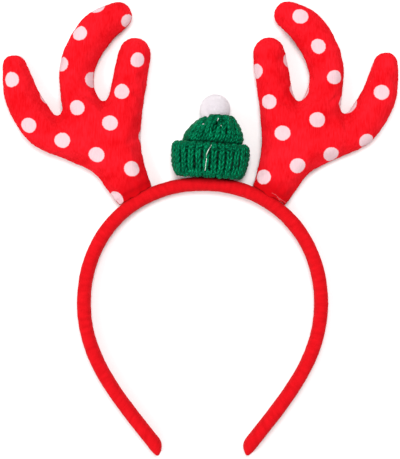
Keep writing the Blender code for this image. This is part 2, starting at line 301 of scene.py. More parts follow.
def printed_plush():
    """Minky plush, knitted and sheared: a dense short pile that eats the light face on and
    glows a little at grazing angles, with fine rows of nap and pale printed dots."""
    material, tree = new_material("printed_minky_plush")
    cloth = add(tree, "ShaderNodeUVMap", uv_map="fabric")
    spot = add(tree, "ShaderNodeTexCoord")

    # Edge of each printed dot wanders by a tuft or so
    wander = soft_noise(tree, cloth.outputs[0], 1.1, 2.0)
    centred = add(tree, "ShaderNodeVectorMath", {0: wander.outputs["Color"], 1: (0.5, 0.5, 0.5)},
                  operation="SUBTRACT")
    moved = add(tree, "ShaderNodeVectorMath",
                {0: centred.outputs[0], 1: (0.8, 0.8, 0.0), 2: cloth.outputs[0]}, operation="MULTIPLY_ADD")
    cell = add(tree, "ShaderNodeVectorMath",
               {0: moved.outputs[0], 1: (1000 * DOT_PITCH, 1000 * DOT_PITCH, 1.0)}, operation="DIVIDE")
    shifted = add(tree, "ShaderNodeVectorMath", {0: cell.outputs[0], 1: (0.5, 0.5, 0.0)},
                  operation="ADD")
    fraction = add(tree, "ShaderNodeVectorMath", {0: shifted.outputs[0]}, operation="FRACTION")
    from_middle = add(tree, "ShaderNodeVectorMath", {0: fraction.outputs[0], 1: (0.5, 0.5, 0.0)},
                      operation="DISTANCE")
    radius = DOT_DIAMETER / DOT_PITCH / 2
    dot = add(tree, "ShaderNodeMapRange",
              {"Value": from_middle.outputs["Value"], "From Min": radius + DOT_BLUR,
               "From Max": radius - DOT_BLUR, "To Min": 0.0, "To Max": 1.0},
              interpolation_type="SMOOTHSTEP")

    printed = add(tree, "ShaderNodeAttribute", attribute_name="printed")
    shown = add(tree, "ShaderNodeMath", {0: dot.outputs[0], 1: printed.outputs["Fac"]},
                operation="MULTIPLY")

    # Nap: rows 0.6 mm wide and several millimetres long, drawn no finer than the picture shows
    rows = add(tree, "ShaderNodeMapping",
               {"Vector": spot.outputs["Object"], "Scale": (1 / 0.0006, 1 / 0.005, 1 / 0.0009)})
    nap = soft_noise(tree, rows.outputs[0], 1.0, 3.0, Roughness=0.6)
    patches = soft_noise(tree, spot.outputs["Object"], 1 / 0.011, 3.0)
    tuft = soft_noise(tree, spot.outputs["Object"], 1 / 0.00045)
    shade = add(tree, "ShaderNodeMix", {"Factor": 0.45, 2: nap.outputs[0], 3: patches.outputs[0]})
    red = two_tone(tree, shade.outputs[0], "#C0050F", "#D61824", 0.38, 0.62)
    # Painted shade: the red darkens towards the band, where the antler meets it; the attribute named pressed
    # carries this painted shade
    pressed = add(tree, "ShaderNodeAttribute", attribute_name="pressed")
    painted_shade_red = add(tree, "ShaderNodeMix",
               {"Factor": pressed.outputs["Fac"], 6: red.outputs[0], 7: linear("#B0030B")},
               data_type="RGBA")
    pale = two_tone(tree, shade.outputs[0], "#C4A2A8", "#D2B4B9", 0.3, 0.7)
    colour = add(tree, "ShaderNodeMix",
                 {"Factor": shown.outputs[0], 6: painted_shade_red.outputs[2], 7: pale.outputs[0]}, data_type="RGBA")

    height = add(tree, "ShaderNodeMath", {0: nap.outputs[0], 1: tuft.outputs[0]}, operation="ADD")
    bump = relief(tree, height.outputs[0], 0.5, 0.25 * MM)
    shader = add(tree, "ShaderNodeBsdfPrincipled",
                 {"Base Color": colour.outputs[2], "Roughness": 0.95, "Specular IOR Level": 0.05,
                  "Sheen Weight": 0.06, "Sheen Roughness": 0.5, "Sheen Tint": (1.0, 0.1, 0.1, 1.0),
                  "Normal": bump.outputs[0]})
    finish_material(tree, shader)
    return material


def band_velour():
    """Velour, woven and brushed, drawn tight over padding: darker than the plush and closer in
    its pile, with faint bands of light where the cloth is pulled across."""
    material, tree = new_material("wrapped_velour")
    cloth = add(tree, "ShaderNodeUVMap", uv_map="fabric")
    spot = add(tree, "ShaderNodeTexCoord")
    stretched = add(tree, "ShaderNodeMapping",
                    {"Vector": cloth.outputs[0], "Scale": (1 / 2.2, 1 / 9.0, 1.0)})
    pull = soft_noise(tree, stretched.outputs[0], 1.0, 3.0)
    tuft = soft_noise(tree, spot.outputs["Object"], 1 / 0.0005, 2.0)
    shade = add(tree, "ShaderNodeMix", {"Factor": 0.4, 2: pull.outputs[0], 3: tuft.outputs[0]})
    red = two_tone(tree, shade.outputs[0], "#AD040C", "#CA0E18", 0.3, 0.7)
    bump = relief(tree, tuft.outputs[0], 0.45, 0.2 * MM)
    shader = add(tree, "ShaderNodeBsdfPrincipled",
                 {"Base Color": red.outputs[0], "Roughness": 0.9, "Specular IOR Level": 0.06,
                  "Sheen Weight": 0.08, "Sheen Roughness": 0.5, "Sheen Tint": (1.0, 0.1, 0.1, 1.0),
                  "Normal": bump.outputs[0]})
    finish_material(tree, shader)
    return material


def acrylic_yarn():
    """Acrylic yarn, spun and plied: bright filaments give it a silky gloss on every strand."""
    material, tree = new_material("plied_acrylic_yarn")
    along = add(tree, "ShaderNodeUVMap", uv_map="yarn")
    spot = add(tree, "ShaderNodeTexCoord")
    lines = add(tree, "ShaderNodeMapping", {"Vector": along.outputs[0], "Scale": (7.0, 0.35, 1.0),
                                            "Rotation": (0.0, 0.0, 0.5)})
    filament = soft_noise(tree, lines.outputs[0], 2.2, 3.0)
    patches = soft_noise(tree, spot.outputs["Object"], 1 / 0.004)
    shade = add(tree, "ShaderNodeMix", {"Factor": 0.45, 2: filament.outputs[0], 3: patches.outputs[0]})
    green = two_tone(tree, shade.outputs[0], "#00412A", "#046F48", 0.32, 0.68)
    # Painted shade: the yarn is darkened where it dives behind its neighbours and in creases, and lightened
    # again on folds
    depth = add(tree, "ShaderNodeAttribute", attribute_name="depth")
    painted_shade_factor = add(tree, "ShaderNodeMapRange",
              {"Value": depth.outputs["Fac"], "From Min": -0.40, "From Max": 0.50, "To Min": 0.04,
               "To Max": 1.0}, interpolation_type="SMOOTHSTEP")
    shaded = add(tree, "ShaderNodeVectorMath", {0: green.outputs[0], "Scale": painted_shade_factor.outputs[0]},
                 operation="SCALE")
    bump = relief(tree, filament.outputs[0], 0.5, 0.12 * MM)
    shader = add(tree, "ShaderNodeBsdfPrincipled",
                 {"Base Color": shaded.outputs[0], "Metallic": 0.5, "Roughness": 0.3,
                  "Specular IOR Level": 0.15, "Specular Tint": (0.1, 1.0, 0.6, 1.0),
                  "Normal": bump.outputs[0]})
    finish_material(tree, shader)
    return material


def knit_shadow():
    """The same yarn on the inside of the cloth, painted much darker than the outer yarn as the shade seen
    between the stitches: matt rows of loops.
    """
    material, tree = new_material("inner_knit_yarn_painted_shade")
    spot = add(tree, "ShaderNodeTexCoord")
    loops = add(tree, "ShaderNodeTexWave", {"Vector": spot.outputs["Object"], "Scale": 1 / 0.0075,
                                            "Distortion": 2.0, "Detail": 2.0}, bands_direction="X")
    green = two_tone(tree, loops.outputs["Fac"], "#00170D", "#01291A")
    bump = relief(tree, loops.outputs["Fac"], 0.7, 0.5 * MM)
    shader = add(tree, "ShaderNodeBsdfPrincipled",
                 {"Base Color": green.outputs[0], "Roughness": 0.8, "Specular IOR Level": 0.2,
                  "Normal": bump.outputs[0]})
    finish_material(tree, shader)
    return material


def cut_pile():
    """Polyester pile, cut and fluffed: near white, soft, with light spreading between the fibres."""
    material, tree = new_material("fluffed_cut_pile")
    spot = add(tree, "ShaderNodeTexCoord")
    tufts = soft_noise(tree, spot.outputs["Object"], 1 / 0.003, 2.0)
    white = two_tone(tree, tufts.outputs[0], "#E0D9DE", "#EFEAED")
    shader = add(tree, "ShaderNodeBsdfPrincipled",
                 {"Base Color": white.outputs[0], "Roughness": 0.8, "Specular IOR Level": 0.2,
                  "Sheen Weight": 0.3, "Sheen Roughness": 0.5})
    finish_material(tree, shader)
    return material


def white_thread():
    """Polyester sewing thread, twisted: thin, white and slightly glossy."""
    material, tree = new_material("twisted_sewing_thread")
    spot = add(tree, "ShaderNodeTexCoord")
    twist = soft_noise(tree, spot.outputs["Object"], 1 / 0.0006)
    white = two_tone(tree, twist.outputs[0], "#C9D2CB", "#F6F8F4")
    shader = add(tree, "ShaderNodeBsdfPrincipled",
                 {"Base Color": white.outputs[0], "Roughness": 0.4, "Specular IOR Level": 0.5})
    finish_material(tree, shader)
    return material


def frayed_fibre():
    """Polyester fibres of the plush's backing, pulled out and stiff with clear glue."""
    material, tree = new_material("frayed_backing_fibre")
    spot = add(tree, "ShaderNodeTexCoord")
    patches = soft_noise(tree, spot.outputs["Object"], 1 / 0.0015)
    pink = two_tone(tree, patches.outputs[0], "#B22A33", "#CC5A60")
    shader = add(tree, "ShaderNodeBsdfPrincipled",
                 {"Base Color": pink.outputs[0], "Roughness": 0.5, "Specular IOR Level": 0.4})
    finish_material(tree, shader)
    return material


def pale_floor():
    """Matt paper: even and bright, without a reflection of the headband."""
    material, tree = new_material("matt_pale_paper")
    spot = add(tree, "ShaderNodeTexCoord")
    grain = soft_noise(tree, spot.outputs["Object"], 1 / 0.0015, 2.0)
    tone = two_tone(tree, grain.outputs[0], "#E9E9E9", "#EDEDED")
    shader = add(tree, "ShaderNodeBsdfPrincipled",
                 {"Base Color": tone.outputs[0], "Roughness": 0.9, "Specular IOR Level": 0.1})
    finish_material(tree, shader)
    return material


# Antlers

# Places in the picture, in pixels: where a limb of the left antler meets its neighbour, and the
# direction in which the tension fold runs from there
LEFT_WEBS = (((57, 113.5), (0.1, -0.99)), ((103.5, 99), (0.1, -0.99)))
RIGHT_WEBS = (((347.5, 113.5), (-0.1, -0.99)), ((300, 99), (-0.15, -0.99)))

# Print of each antler: one dot's centre in the picture and the two steps from dot to dot
LEFT_PRINT = ((96.5, 154.7), (34.2, 14.6), (14.2, -32.2))
RIGHT_PRINT = ((298.0, 165.8), (34.2, -13.8), (14.7, 32.2))

# The stuffing pulls the print out of line: steps to a dot, then where its centre really lies
LEFT_DOTS = (
    (0, 0, 96.5, 154.7), (-1, 0, 62.2, 140.3), (-2, 0, 28.3, 125.4), (1, 0, 132, 168.6),
    (0, 1, 110, 122.8), (-1, 1, 76.6, 107.5), (-2, 1, 50, 95.5), (1, 1, 148.5, 137), (-3, 1, 11, 79.4),
    (0, 2, 121.4, 91.3), (-1, 2, 93.3, 79.5), (-2, 2, 60.3, 63.8), (0, 3, 136.7, 59.3),
    (-1, 3, 113.5, 51.5), (-2, 3, 79.1, 32.7), (-1, 4, 129.5, 21.5), (-2, 4, 96.4, 5.3),
    (1, -1, 114.8, 199.5),
)
RIGHT_DOTS = (
    (0, 0, 297.9, 165.8), (1, 0, 331.6, 155), (2, 0, 367.3, 141.5), (-1, 0, 262.9, 176.8),
    (0, -1, 282.5, 133), (1, -1, 317.3, 119.7), (2, -1, 347.5, 102.5), (3, -1, 381.7, 92.2),
    (0, -2, 268.8, 101.6), (1, -2, 298.5, 89), (2, -2, 335.1, 77.6), (3, -2, 362, 63), (4, -2, 409, 43),
    (0, -3, 254, 71.3), (1, -3, 292.8, 60), (2, -3, 317.7, 46.4), (2, -4, 300.4, 16.2), (1, -4, 264, 27),
)

# Fibres that the glue left standing where the right antler ends: their bends in the picture
FRAYED_RUNS = (
    ((271.6, 192.9), (273.4, 193.6), (275.6, 195.0)),
    ((275.0, 194.2), (277.4, 196.4), (279.3, 198.2), (281.0, 199.3)),
    ((279.2, 198.6), (281.4, 199.8), (283.4, 201.0), (285.7, 202.7)),
    ((276.8, 196.8), (279.0, 199.2), (280.2, 200.6)),
)


# Dots of each lattice that the seams take in, so that they don't show
LEFT_HIDDEN = ((113.5, 51.5),)
RIGHT_HIDDEN = ((264, 27), (409, 43))


def rim_of(mesh):
    """Points round the outline at seam height, with their distance along the seam."""
    bm = bmesh.new()
    bm.from_mesh(mesh)
    cut = bmesh.ops.bisect_plane(bm, geom=bm.verts[:] + bm.edges[:] + bm.faces[:],
                                 plane_co=(0, 0, SEAM_HEIGHT), plane_no=(0, 0, 1))["geom_cut"]
    edges = [g for g in cut if isinstance(g, bmesh.types.BMEdge)]
    on_cut = set(edges)
    start = edges[0].verts[0]
    ordered = [start.co.copy()]
    edge, vert = edges[0], edges[0].other_vert(start)
    while vert is not start:
        ordered.append(vert.co.copy())
        following = [e for e in vert.link_edges if e in on_cut and e is not edge]
        if not following:
            break
        edge = following[0]
        vert = edge.other_vert(vert)
    bm.free()
    tree = KDTree(len(ordered))
    travelled = [0.0]
    for i, point in enumerate(ordered):
        tree.insert(point, i)
        if i:
            travelled.append(travelled[-1] + (point - ordered[i - 1]).length)
    tree.balance()
    return tree, travelled


def fold_pattern(points, spot, heading):
    """Depth of a tension fold that starts at a web and dies out along its heading."""
    offset = points[:, :2] - np.array(spot.xy)
    along = offset @ np.array(heading)
    across = offset @ np.array((-heading[1], heading[0]))
    fade = np.clip(along / (4 * MM), 0, 1) * np.exp(-np.clip(along, 0, None) / (11 * MM))
    return fade * (bell(across, 2.2 * MM) - 0.45 * bell(np.abs(across) - 4.5 * MM, 2.4 * MM))


def relief_of_antler(obj, seat, outward, webs):
    """Seam, puckers, folds and lumps of hand stuffing, added to the antler's skin."""
    points, normals = read_points(obj.data), read_normals(obj.data)
    tree, travelled = rim_of(obj.data)
    nearest = [tree.find(p) for p in points]
    along_seam = np.array([travelled[i] for _, i, _ in nearest])
    from_seam = np.array([distance for _, _, distance in nearest])
    front = np.clip((points[:, 2] - SEAM_HEIGHT) / (3 * MM), 0, 1)

    push = 0.30 * MM * smooth_noise(points, 14 * MM, 3.1) * front
    push += 0.12 * MM * smooth_noise(points, 4.5 * MM, 7.7)
    push -= 0.60 * MM * bell(from_seam, 0.75 * MM)
    stitch = np.sin(2 * math.pi * along_seam / (2.6 * MM) + 1.5 * np.sin(along_seam / (9 * MM)))
    beside = np.clip(from_seam / (1.2 * MM), 0, 1) * np.exp(-from_seam / (2.6 * MM))
    push += 0.07 * MM * stitch * beside
    for spot, heading in webs:
        push -= 1.15 * MM * fold_pattern(points, place(*spot), heading) * front

    # The open end is drawn together on the band: soft gathers above a shallow crease
    offset = points[:, :2] - np.array(seat.xy)
    rise = offset @ np.array(outward)
    across = offset @ np.array((-outward[1], outward[0]))
    spread = across / (1 + rise / (40 * MM))
    wave = np.cos(2 * math.pi * spread / (6.1 * MM) + 1.6 * np.sin(across / (4.3 * MM)))
    above = np.clip((rise - 2.6 * MM) / (2 * MM), 0, 1)
    push += 0.34 * MM * wave * above * np.exp(-np.clip(rise, 0, None) / (8 * MM)) * front
    crease = rise - 2.2 * MM - 0.5 * MM * np.sin(across / (3.7 * MM))
    push -= 0.45 * MM * bell(crease, 1.3 * MM) * front
    points += push[:, None] * normals
    for spot, heading in webs:
        near = bell(np.linalg.norm(points[:, :2] - np.array(place(*spot).xy), axis=1), 4.2 * MM)
        points[:, :2] += (WEB_DEPTH * near)[:, None] * np.array(heading)
    points[:, 2] = np.maximum(points[:, 2], 0.02 * MM)
    write_points(obj.data, points)


def glue_to_band(obj):
    """Draw the open end of an antler onto the band, so that its skin runs into the band's own."""
    bm = bmesh.new()
    bm.from_mesh(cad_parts["headband"].data)
    tree = BVHTree.FromBMesh(bm)
    bm.free()
    points = read_points(obj.data)
    for i, point in enumerate(points):
        spot, normal, _, distance = tree.find_nearest(Vector(point), GLUE_REACH)
        if spot is None:
            continue
        height = (Vector(point) - spot).dot(normal)
        share = (1 - min(1, max(0, height) / GLUE_REACH) ** 2) ** 2
        target = spot + normal * GLUE_GAP
        points[i] += share * (np.array(target) - point)
    points[:, 2] = np.maximum(points[:, 2], 0.02 * MM)
    write_points(obj.data, points)


def print_on_antler(obj, pattern, dots, hidden):
    """UV map in millimetres along the two steps of the print, wrapped over the stuffed edges."""
    calm = soften(add_object("calm", obj.data.copy()), 0.5, 25)
    points, normals = read_points(obj.data), read_normals(calm.data)
    bpy.data.objects.remove(calm)
    side = np.linalg.norm(normals[:, :2], axis=1)
    heading = normals[:, :2] / np.maximum(side, 1e-6)[:, None]
    flat = points[:, :2] + heading * (2.0 * MM * np.clip(side, 0, 1) ** 4)[:, None]
    # Down the steep side the cloth runs on by as much as it drops
    steep = np.clip((side - 0.93) / 0.06, 0, 1)
    drop = np.where(normals[:, 2] < 0, points[:, 2] - 3.0 * MM, 9.0 * MM - points[:, 2])
    flat += heading * (steep * np.clip(drop, 0, 4.0 * MM))[:, None]
    origin, step_a, step_b = pattern
    start = np.array(place(*origin).xy)
    basis = np.array([(step_a[0], -step_a[1]), (step_b[0], -step_b[1])]).T * PIXEL
    total, weight = np.zeros_like(flat), np.full((len(flat), 1), 1e-4)
    for i, j, px, py in dots:
        beside = np.linalg.norm(points[:, :2] - np.array(place(px, py).xy), axis=1) < 3 * MM
        height = points[beside, 2].max() if beside.any() else SEAM_HEIGHT
        true = np.array(place(px, py, height).xy)
        near = bell(np.linalg.norm(flat - true, axis=1), 15 * PIXEL)[:, None]
        total += near * (true - start - basis @ np.array((i, j)))
        weight += near
    steps = np.linalg.solve(basis, (flat - total / weight - start).T).T
    # The back panel is cut from another stretch of the same cloth, face by face along the seam
    corners = corners_of(obj.data)
    faces = np.repeat(np.arange(len(obj.data.polygons)), face_sizes(obj.data))
    facing = np.bincount(faces, normals[corners, 2]) / face_sizes(obj.data)
    spots = steps[corners]
    spots[facing[faces] < BACK_FACING] += BACK_PANEL_SHIFT
    set_uv(obj.data, "fabric", spots * DOT_PITCH / MM)
    back = normals[:, 2] < BACK_FACING
    printed = np.ones(len(flat))
    for spot in hidden:
        away = np.linalg.norm(flat - np.array(place(*spot).xy), axis=1)
        printed[(away < 0.5 * DOT_PITCH) & ~back] = 0.0
    store(obj.data, "printed", printed)


def build_antler(node, name, seat_px, lean, webs, pattern, dots, hidden, material):
    obj = voxel_copy(node, name, PLUSH_CELL)
    relax(obj, 4)
    points, normals = read_points(obj.data), read_normals(obj.data)
    seat = place(*seat_px)
    outward = (math.sin(lean), math.cos(lean))
    rise = (points[:, :2] - np.array(seat.xy)) @ np.array(outward)
    rest = np.clip(np.minimum(points[:, 2] - SEAM_HEIGHT, 4 * MM) / (4 * MM), 0, 1)
    write_points(obj.data, points - (0.55 * MM * rest)[:, None] * normals)
    stuff(obj, (np.abs(points[:, 2] - SEAM_HEIGHT) < 1.9 * MM) | (rise < 3 * MM))
    relax(obj, 3)
    subdivide(obj, 2)
    print_on_antler(obj, pattern, dots, hidden)
    relief_of_antler(obj, seat, outward, webs)
    relax(obj, 1)
    glue_to_band(obj)
    # Painted shade near the band: how far the plush is darkened, fading with distance from the seat
    rise = (read_points(obj.data)[:, :2] - np.array(seat.xy)) @ np.array(outward)
    store(obj.data, "pressed", bell(np.clip(rise, 0, None), SHADE_NEAR_BAND_REACH))
    dress(obj, material)
    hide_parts(node)
    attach(obj, "root")
    return obj


# Headband

def build_headband(material):
    """The padded band in its velour sleeve: cross pulls and a sewn line inside."""
    obj = voxel_copy("headband", "headband_velour", BAND_CELL)
    relax(obj, 3)
    subdivide(obj)
    points, normals = read_points(obj.data), read_normals(obj.data)
    low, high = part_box("headband")
    middle = np.array(((low.x + high.x) / 2, high.y - (high.x - low.x) / 2))
    offset = points[:, :2] - middle
    radius = np.linalg.norm(offset, axis=1)
    along = np.arctan2(offset[:, 0], offset[:, 1]) * (high.x - low.x) / 2
    outward = np.sum(normals[:, :2] * offset, axis=1) / radius
    around = np.arctan2(normals[:, 2], outward)

    # Pulls of the sleeve run across the band, leaning a little, and fade round the section
    lane = along + 1.5 * MM * np.sin(around) + 2.0 * MM * np.sin(along / (23 * MM))
    lanes = np.stack([lane, 0.25 * points[:, 2], np.zeros(len(points))], axis=1)
    push = 0.09 * MM * smooth_noise(lanes, 3.6 * MM, 1.3)
    push += 0.05 * MM * smooth_noise(lanes, 1.7 * MM, 5.9)
    push += 0.14 * MM * smooth_noise(points, 12 * MM, 9.0)
    from_line = np.abs(points[:, 2] - SEAM_HEIGHT)
    inside = np.clip(-2 * outward, 0, 1)
    stitches = 0.6 + 0.4 * np.cos(2 * math.pi * along / (2.4 * MM))
    push -= 0.50 * MM * bell(from_line, 0.6 * MM) * inside * stitches
    points += push[:, None] * normals
    points[:, 2] = np.maximum(points[:, 2], 0.02 * MM)
    write_points(obj.data, points)
    relax(obj, 1)
    fabric = np.stack([along, around * 5 * MM], axis=1) / MM
    set_uv(obj.data, "fabric", fabric[corners_of(obj.data)])
    dress(obj, material)
    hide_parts("headband")
    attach(obj, "root")
    return obj


# Beanie

# Crown from inside the cuff over its gathered rim and down round the pompom, columns:
# height / crown height, width / crown width, sideways / half crown width,
# front depth / half crown width, back depth / half crown width, gather depth / yarn
CROWN_ROWS = (
    (0.400, 0.880, -0.075, 0.38, 0.20, 0.0),
    (0.505, 0.930, -0.060, 0.42, 0.23, 0.0),
    (0.590, 0.965, 0.000, 0.56, 0.26, 0.0),
    (0.680, 0.925, 0.020, 0.60, 0.29, 0.1),
    (0.760, 0.835, 0.050, 0.61, 0.33, 0.3),
    (0.830, 0.735, 0.074, 0.62, 0.37, 0.5),
    (0.890, 0.635, 0.104, 0.62, 0.40, 0.8),
    (0.935, 0.525, 0.146, 0.61, 0.42, 1.0),
    (0.968, 0.425, 0.165, 0.57, 0.42, 1.0),
    (0.955, 0.330, 0.120, 0.45, 0.34, 0.9),
    (0.900, 0.230, 0.060, 0.28, 0.22, 0.6),
    (0.860, 0.120, 0.000, 0.14, 0.12, 0.3),
)

# Where the gathered cloth folds inwards on the front of the crown: both ends in the picture,
# then depth and width in millimetres; a negative depth is the lobe between two folds
CROWN_CREASES = (
    ((218.5, 119.5), (212.8, 131), 2.4, 1.2),
    ((223, 119), (226.8, 132), 1.3, 1.0),
    ((208, 117), (203, 128), 0.9, 1.0),
    ((233, 116), (236, 127), 0.8, 1.0),
    ((229, 114), (230, 126), -1.1, 1.7),
    ((213, 116), (208, 128), -0.7, 1.5),
)

# White thread that a needle left on the front: its bends in the picture
TACKING_RUNS = (
    ((211.5, 144.9), (210.3, 147.1), (208.8, 149.4), (207.2, 152.6), (206.2, 156), (206.6, 159.4),
     (205.8, 163.2), (205.6, 167), (204.9, 170.6)),
    ((218.6, 118.0), (217.9, 119.6), (217.0, 121.2)),
    ((202.4, 124.4), (203.3, 123.8), (204.0, 124.3)),
    ((220.8, 125.2), (221.4, 126.2)),
)

# Cuff from inside its lower fold, up the outside and over its edge, columns:
# height / cuff height, width / cuff width, front / half cuff width, back / half cuff width
CUFF_ROWS = (
    (0.300, 0.745, 0.465, 0.245),
    (0.130, 0.745, 0.465, 0.245),
    (0.010, 0.760, 0.480, 0.255),
    (-0.020, 0.800, 0.510, 0.275),
    (0.040, 0.845, 0.550, 0.300),
    (0.170, 0.895, 0.580, 0.315),
    (0.350, 0.937, 0.600, 0.325),
    (0.590, 0.962, 0.605, 0.325),
    (0.810, 0.970, 0.590, 0.320),
    (0.930, 0.935, 0.560, 0.310),
    (0.975, 0.850, 0.530, 0.290),
    (0.900, 0.805, 0.500, 0.270),
    (0.760, 0.800, 0.495, 0.260),
)


def beanie_frame():
    """Matrix from the beanie's own frame, upright on the band, to the model's frame."""
    seat = place(210.9, 176.3, 8 * MM)
    return Matrix.Translation(seat) @ Matrix.Rotation(-BEANIE_LEAN, 4, "Z")


def smooth_rows(rows, steps):
    """Rows of a table with Catmull-Rom rows added between them."""
    table = [np.array(row) for row in rows]
    table = [2 * table[0] - table[1]] + table + [2 * table[-1] - table[-2]]
    dense = []
    for p0, p1, p2, p3 in zip(table, table[1:], table[2:], table[3:]):
        for step in range(steps):
            t = step / steps
            dense.append(0.5 * (2 * p1 + (p2 - p0) * t + (2 * p0 - 5 * p1 + 4 * p2 - p3) * t ** 2
                                + (3 * p1 - p0 - 3 * p2 + p3) * t ** 3))
    dense.append(table[-2])
    return np.array(dense)


def flattened_ring(half_width, front, back, count):
    """Equally spaced points round a flattened tube in x and z, from the +X side over the front."""
    angle = np.linspace(0, 2 * math.pi, 12 * count + 1)
    c, s = np.cos(angle), np.sin(angle)
    power = 2 / 2.3
    x = half_width * np.sign(c) * np.abs(c) ** power
    z = np.where(s > 0, front, back) * np.sign(s) * np.abs(s) ** power
    steps = np.hypot(np.diff(x), np.diff(z))
    travelled = np.concatenate([[0.0], np.cumsum(steps)])
    stops = np.arange(count) * travelled[-1] / count
    return np.stack([np.interp(stops, travelled, x), np.interp(stops, travelled, z)], axis=1)


def from_segment(points, start, end):
    """Distance of points in the plane from a straight piece of line."""
    run = end - start
    share = np.clip((points - start) @ run / (run @ run), 0, 1)
    return np.linalg.norm(points - start - share[..., None] * run, axis=-1)


class KnitSurface:
    """A smooth closed tube of cloth: columns go round it, lengths go up it."""

    def __init__(self, rows, columns=192, creases=(), drape=0.0):
        self.columns = columns
        rings = []
        for height, half_width, sideways, front, back, gather in rows:
            ring = flattened_ring(half_width, front, back, columns)
            phase = 2 * math.pi * np.arange(columns) / columns
            inward = gather * (0.5 - 0.5 * np.cos(11 * phase + 0.6 * np.sin(3 * phase)))
            length = np.maximum(np.linalg.norm(ring, axis=1), 1e-6)
            ring = ring * (1 - inward / length)[:, None]
            rings.append(np.stack([ring[:, 0] + sideways, np.full(columns, height), ring[:, 1]], axis=1))
        self.grid = np.array(rings)
        # In front, above the band that it sits on, the foot hangs a little lower
        low = np.clip(1 - self.grid[:, :, 1] / (12 * MM), 0, 1)
        in_front = np.clip((self.grid[:, :, 2] - 3 * MM) / (4 * MM), 0, 1)
        self.grid[:, :, 1] -= drape * low * in_front
        # Painted shade in the creases: how deep each spot lies in one, which darkens the yarn there
        self.crease = np.zeros((*self.grid.shape[:2], 1))
        for start, end, depth, width in creases:
            gap = from_segment(self.grid[:, :, :2], np.array(start), np.array(end))
            front = np.clip(self.grid[:, :, 2] / (2 * MM), 0, 1)
            self.grid[:, :, 2] -= depth * front * bell(gap, width)
            self.crease[:, :, 0] += max(depth, 0) / (2.5 * MM) * front * bell(gap, 0.9 * width)
        steps = np.linalg.norm(np.diff(self.grid, axis=0), axis=2).mean(axis=1)
        self.travelled = np.concatenate([[0.0], np.cumsum(steps)])
        self.length = self.travelled[-1]
        up = np.gradient(self.grid, axis=0)
        round_it = np.roll(self.grid, -1, axis=1) - np.roll(self.grid, 1, axis=1)
        normal = np.cross(up, round_it)
        normal /= np.maximum(np.linalg.norm(normal, axis=2), 1e-9)[:, :, None]
        self.normal = normal
        # How sharply the cloth is folded along its length, from 0 to 1: a fold opens the stitches, so the
        # painted shade between them is lifted there
        turn = np.linalg.norm(np.gradient(normal, axis=0), axis=2).mean(axis=1)
        step = np.maximum(np.gradient(self.travelled), 1e-9)
        sharp = np.clip(turn / step * (2.5 * MM), 0, 1)
        near = np.abs(self.travelled[:, None] - self.travelled[None, :]) < 1.1 * COURSE
        self.fold = (near * sharp[None, :]).max(axis=1)

    def read(self, field, u, v):
        """A field of the surface at u (turns round the tube) and v (length up it)."""
        row = np.interp(v, self.travelled, np.arange(len(self.travelled)))
        i = np.clip(row.astype(int), 0, len(self.travelled) - 2)
        a = (row - i)[:, None]
        column = (u % 1.0) * self.columns
        j = column.astype(int) % self.columns
        k = (j + 1) % self.columns
        b = (column - np.floor(column))[:, None]

        low = field[i, j] * (1 - b) + field[i, k] * b
        high = field[i + 1, j] * (1 - b) + field[i + 1, k] * b
        return low * (1 - a) + high * a

    def sample(self, u, v, w):
        """Points at u, v and a height w above the surface."""
        return self.read(self.grid, u, v) + w[:, None] * self.read(self.normal, u, v)


def course_places(surface):
    """Length along the cloth of each course, so that one lies right on each fold."""
    heights = surface.grid[:, :, 1].mean(axis=1)
    low, high = surface.travelled[heights.argmin()], surface.travelled[heights.argmax()]
    spacing = (high - low) / round((high - low) / COURSE)
    before = int((low - 0.3 * spacing) / spacing)
    after = int((surface.length - high - 0.3 * spacing) / spacing)
    steps = round((high - low) / spacing)
    return [low + spacing * k for k in range(-before, steps + after + 1)]


def course_path(surface, course, count, splay, seed):
    """Centreline of one row of stitches: heads and feet behind, legs in front."""
    t = np.linspace(0, 2 * math.pi * WALES, count, endpoint=False)
    wander = np.sin(2.9 * t / WALES * 3 + seed) + 0.6 * np.sin(t * 0.37 + 2.3 * seed)
    jitter = np.sin(1.7 * np.floor(t / math.pi) + 3.1 * seed)
    pull = splay * np.sin(2 * t) - WALE_GAP * np.sin(t)
    u = (t / (2 * math.pi) + pull + 0.03 * wander + 0.025 * jitter) / WALES
    v = course + 1.0 * COURSE * np.cos(t) + 0.08 * COURSE * wander
    lift = -0.55 * np.cos(2 * t) + 0.08 * jitter
    v = np.clip(v, 0.02 * MM, surface.length - 0.02 * MM)
    path = surface.sample(u, v, (lift - 0.75) * YARN)
    fold = np.interp(v, surface.travelled, surface.fold)
    # Besides the path, the yarn's painted shade: its lift, lighter on folds and darker in creases
    return path, lift + 0.9 * fold - 0.45 * surface.read(surface.crease, u, v)[:, 0]


